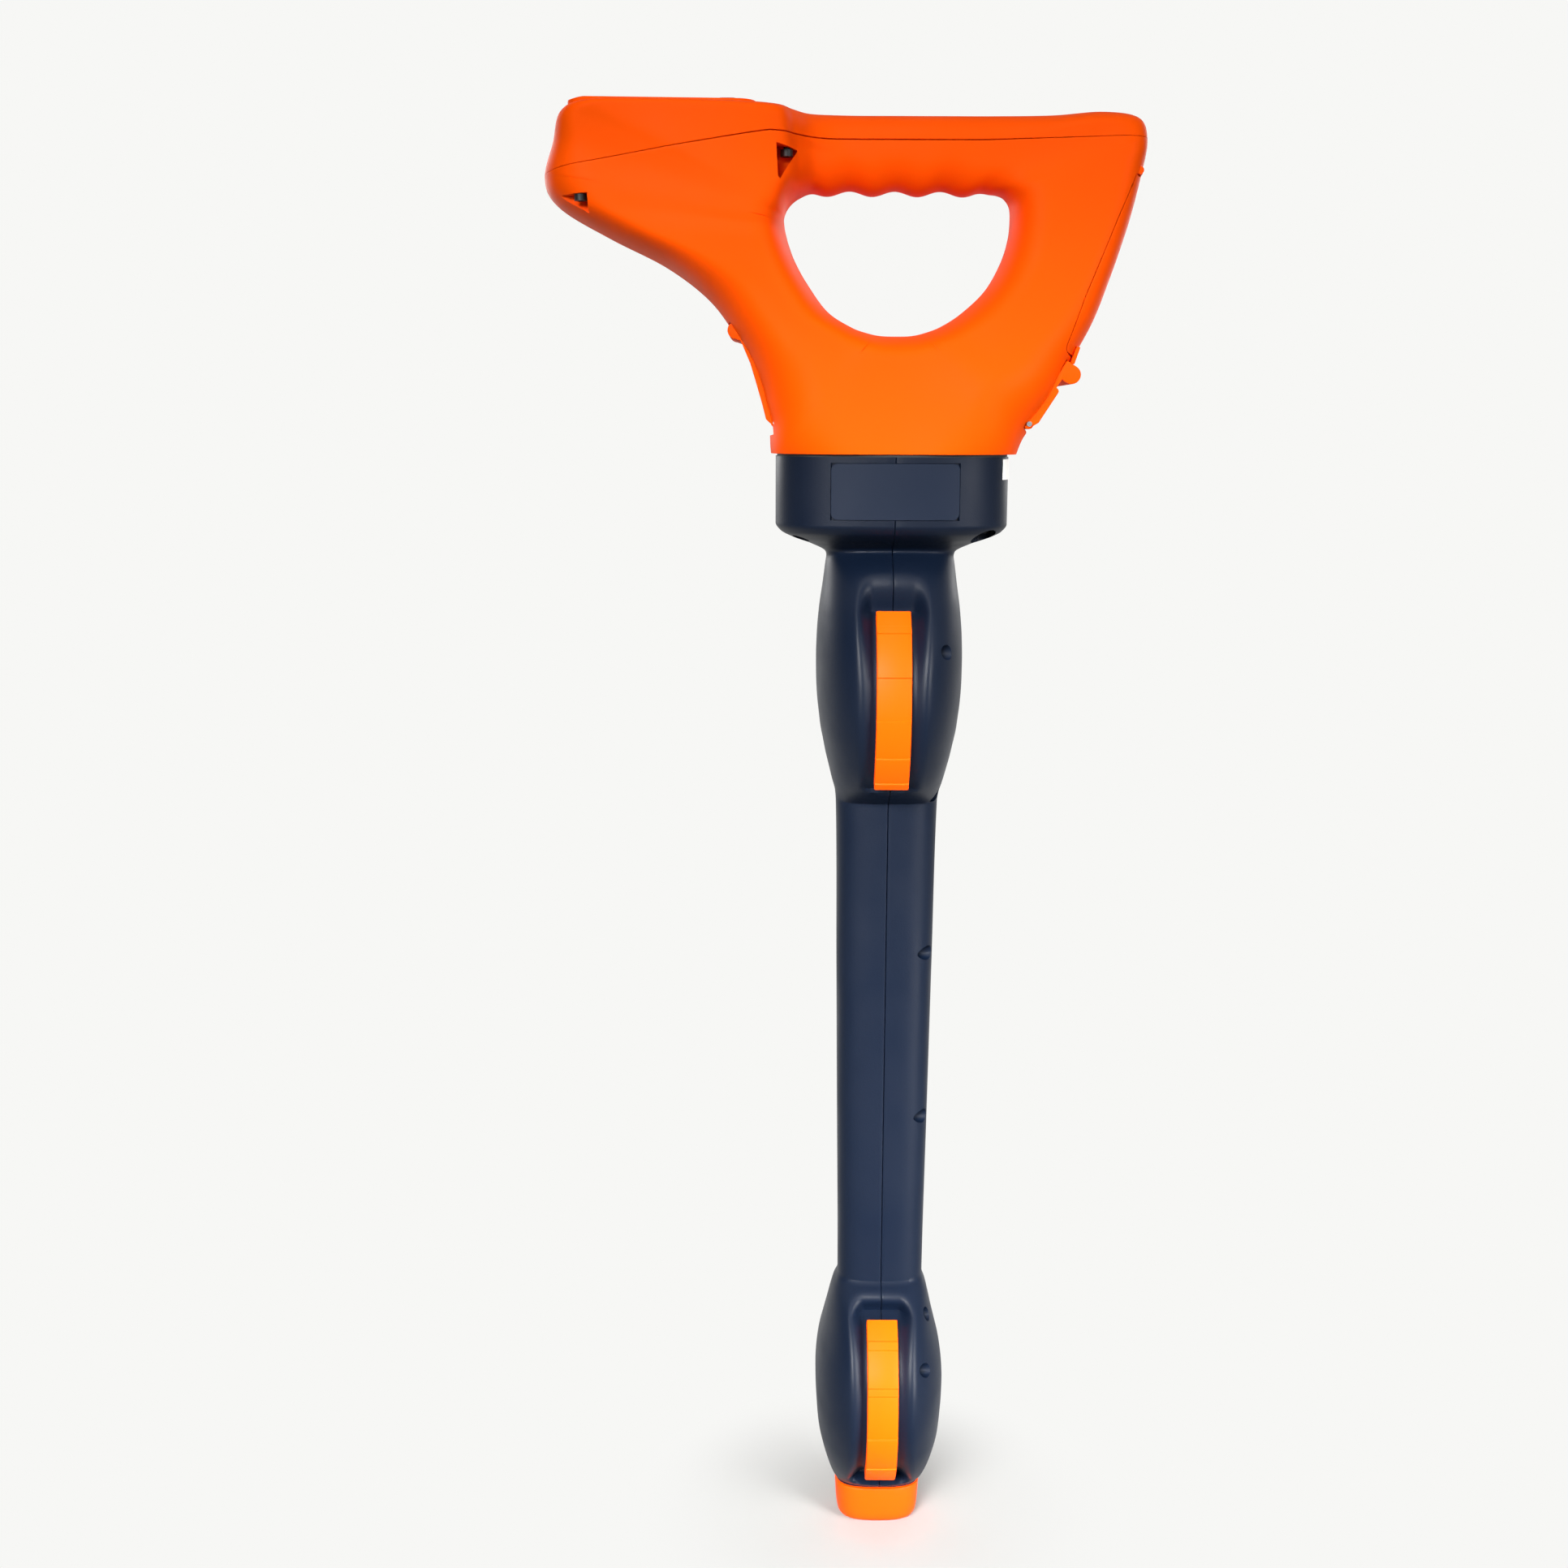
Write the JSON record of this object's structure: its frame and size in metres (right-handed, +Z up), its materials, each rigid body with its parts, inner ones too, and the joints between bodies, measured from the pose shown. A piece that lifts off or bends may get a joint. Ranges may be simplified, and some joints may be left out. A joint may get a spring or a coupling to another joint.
{
  "type": "cable locator",
  "caption": "Hand-held underground cable locator: moulded head with closed D grip, top display pod, hinged battery door and socket cover, on a slim wand with upper and lower antenna pods.",
  "frame": {"origin": "middle of the foot cap's flat underside, on the wand's axis", "axes": "+Z up along the wand to the grip; -X forward to the display nose; +X back to the battery door; Y across, with the bare plate on the -Y side"},
  "size_m": [0.2751, 0.12, 0.7087],
  "materials": {
    "orange": "fine moulded texture",
    "navy": "fine moulded texture",
    "bumper": "satin",
    "window": "clear",
    "screen": "satin",
    "board": "satin",
    "keys": "satin",
    "power_key": "satin",
    "mat": "matte",
    "speaker": "matte",
    "steel": "satin",
    "screws": "black oxide",
    "black_plastic": "satin",
    "cells": "satin",
    "gasket": "matte",
    "label": "satin",
    "ferrite": "matte",
    "winding": "enamelled"
  },
  "bodies": {
    "body": {"head_housing": "orange", "top_cover": "orange", "display_window": "window", "display_module": "screen", "main_board": "board", "keypad_mat": "mat", "speaker": "speaker", "battery_door_pin": "steel", "battery_latch_pin": "steel", "battery_holder": "black_plastic", "battery_cells": "cells", "battery_contacts": "steel", "socket_cover_pin": "steel", "headset_socket": "black_plastic", "head_screws": "screws", "collar_screws": "screws", "collar_gasket": "gasket", "wand_front_shell": "navy", "wand_rear_shell": "navy", "wand_screws": "screws", "upper_bumper_left": "bumper", "upper_bumper_right": "bumper", "lower_bumper_left": "bumper", "lower_bumper_right": "bumper", "foot_cap": "orange", "label_plate": "label", "upper_antenna_core": "ferrite", "upper_antenna_coil": "winding", "lower_antenna_core": "ferrite", "lower_antenna_coil": "winding", "antenna_board": "board"},
    "battery_door": {"battery_door": "orange"},
    "battery_latch": {"battery_latch": "orange"},
    "socket_cover": {"socket_cover": "orange"},
    "key_power": {"key_power": "power_key"},
    "key_mode": {"key_mode": "keys"},
    "key_frequency": {"key_frequency": "keys"},
    "key_gain_up": {"key_gain_up": "keys"},
    "key_gain_down": {"key_gain_down": "keys"}
  },
  "joints": [
    {"name": "battery_door_hinge", "type": "hinge", "parent": "body", "child": "battery_door", "pos_m": [0.111, 0, 0.6805], "axis": [0, -1, 0], "range_deg": [0, 95]},
    {"name": "battery_latch_hinge", "type": "hinge", "parent": "body", "child": "battery_latch", "pos_m": [0.0621, 0, 0.5665], "axis": [0, 1, 0], "range_deg": [0, 70]},
    {"name": "socket_cover_hinge", "type": "hinge", "parent": "body", "child": "socket_cover", "pos_m": [-0.055, 0, 0.5668], "axis": [0, -1, 0], "range_deg": [0, 95]},
    {"name": "key_power_press", "type": "slide", "parent": "body", "child": "key_power", "axis": [0, 0, -1], "range_m": [0, 0.0008], "stiffness_N_per_m": 900},
    {"name": "key_mode_press", "type": "slide", "parent": "body", "child": "key_mode", "axis": [0, 0, -1], "range_m": [0, 0.0008], "stiffness_N_per_m": 900},
    {"name": "key_frequency_press", "type": "slide", "parent": "body", "child": "key_frequency", "axis": [0, 0, -1], "range_m": [0, 0.0008], "stiffness_N_per_m": 900},
    {"name": "key_gain_up_press", "type": "slide", "parent": "body", "child": "key_gain_up", "axis": [0, 0, -1], "range_m": [0, 0.0008], "stiffness_N_per_m": 900},
    {"name": "key_gain_down_press", "type": "slide", "parent": "body", "child": "key_gain_down", "axis": [0, 0, -1], "range_m": [0, 0.0008], "stiffness_N_per_m": 900}
  ]
}
